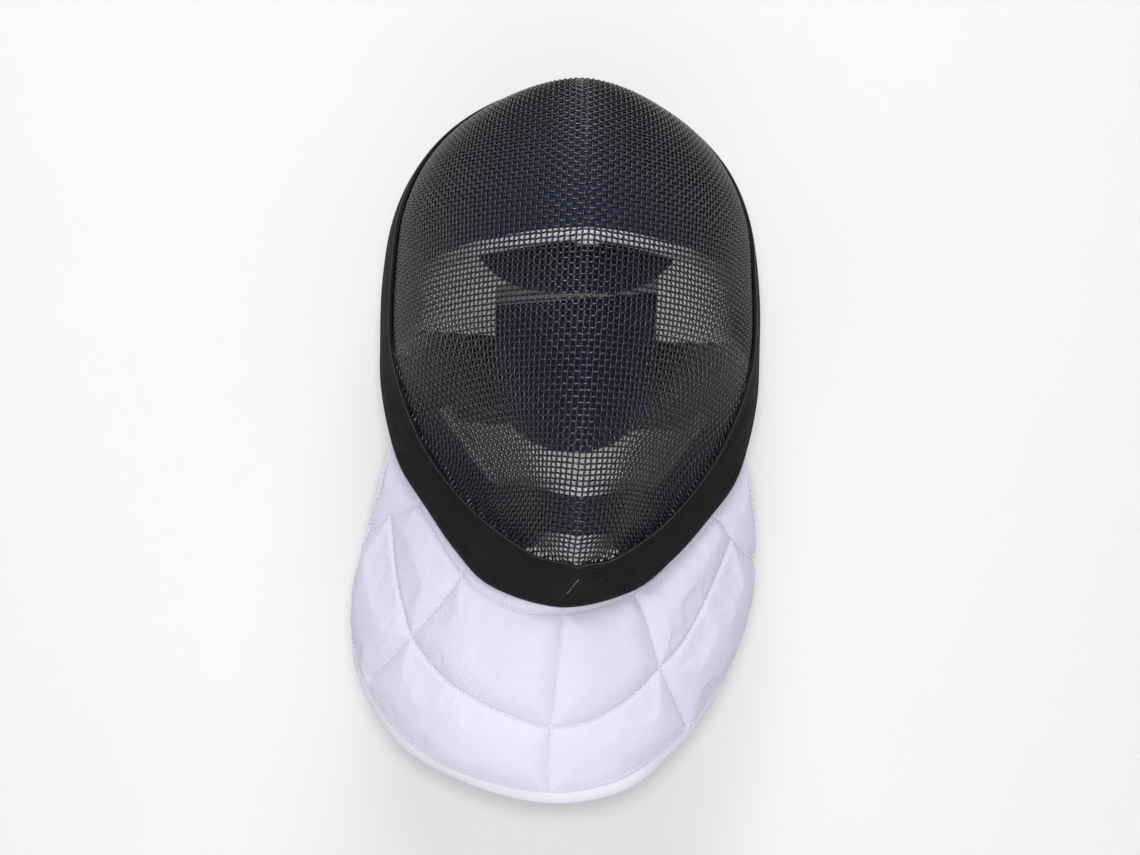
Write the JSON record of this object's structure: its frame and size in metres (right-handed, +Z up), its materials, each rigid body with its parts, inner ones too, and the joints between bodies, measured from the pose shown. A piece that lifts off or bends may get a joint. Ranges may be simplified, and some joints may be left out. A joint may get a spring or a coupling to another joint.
{
  "type": "fencing mask",
  "caption": "Fencing mask: a domed woven wire face with an elastic rim, a padded throat bib, lined crown and chin, and a sprung tongue pad with an elastic strap behind the head.",
  "frame": {"origin": "the head seat, in the middle of the crown pad's underside", "axes": "+Z up as worn, the face looks towards -Y, +X is on the right of someone who faces the mask"},
  "size_m": [0.2348, 0.2568, 0.4062],
  "materials": {
    "wire_black": "black coated steel wire",
    "trim_black": "ribbed knit elastic",
    "bib_white": "quilted woven cloth",
    "pad_navy": "padded woven cloth",
    "binding_white": "woven tape",
    "strap_black": "woven elastic webbing",
    "spring_black": "black coated spring steel"
  },
  "bodies": {
    "root": {"wire_shell": "wire_black", "rim_trim": "trim_black", "bib": "bib_white", "crown_pad": "pad_navy", "crown_pad_binding": "binding_white", "chin_pad": "pad_navy", "chin_pad_binding": "binding_white", "chin_lower_binding": "binding_white", "back_strap": "strap_black", "rear_flap": "pad_navy", "tongue_spring": "spring_black", "tongue_pad": "pad_navy", "tongue_binding": "binding_white"}
  },
  "joints": []
}
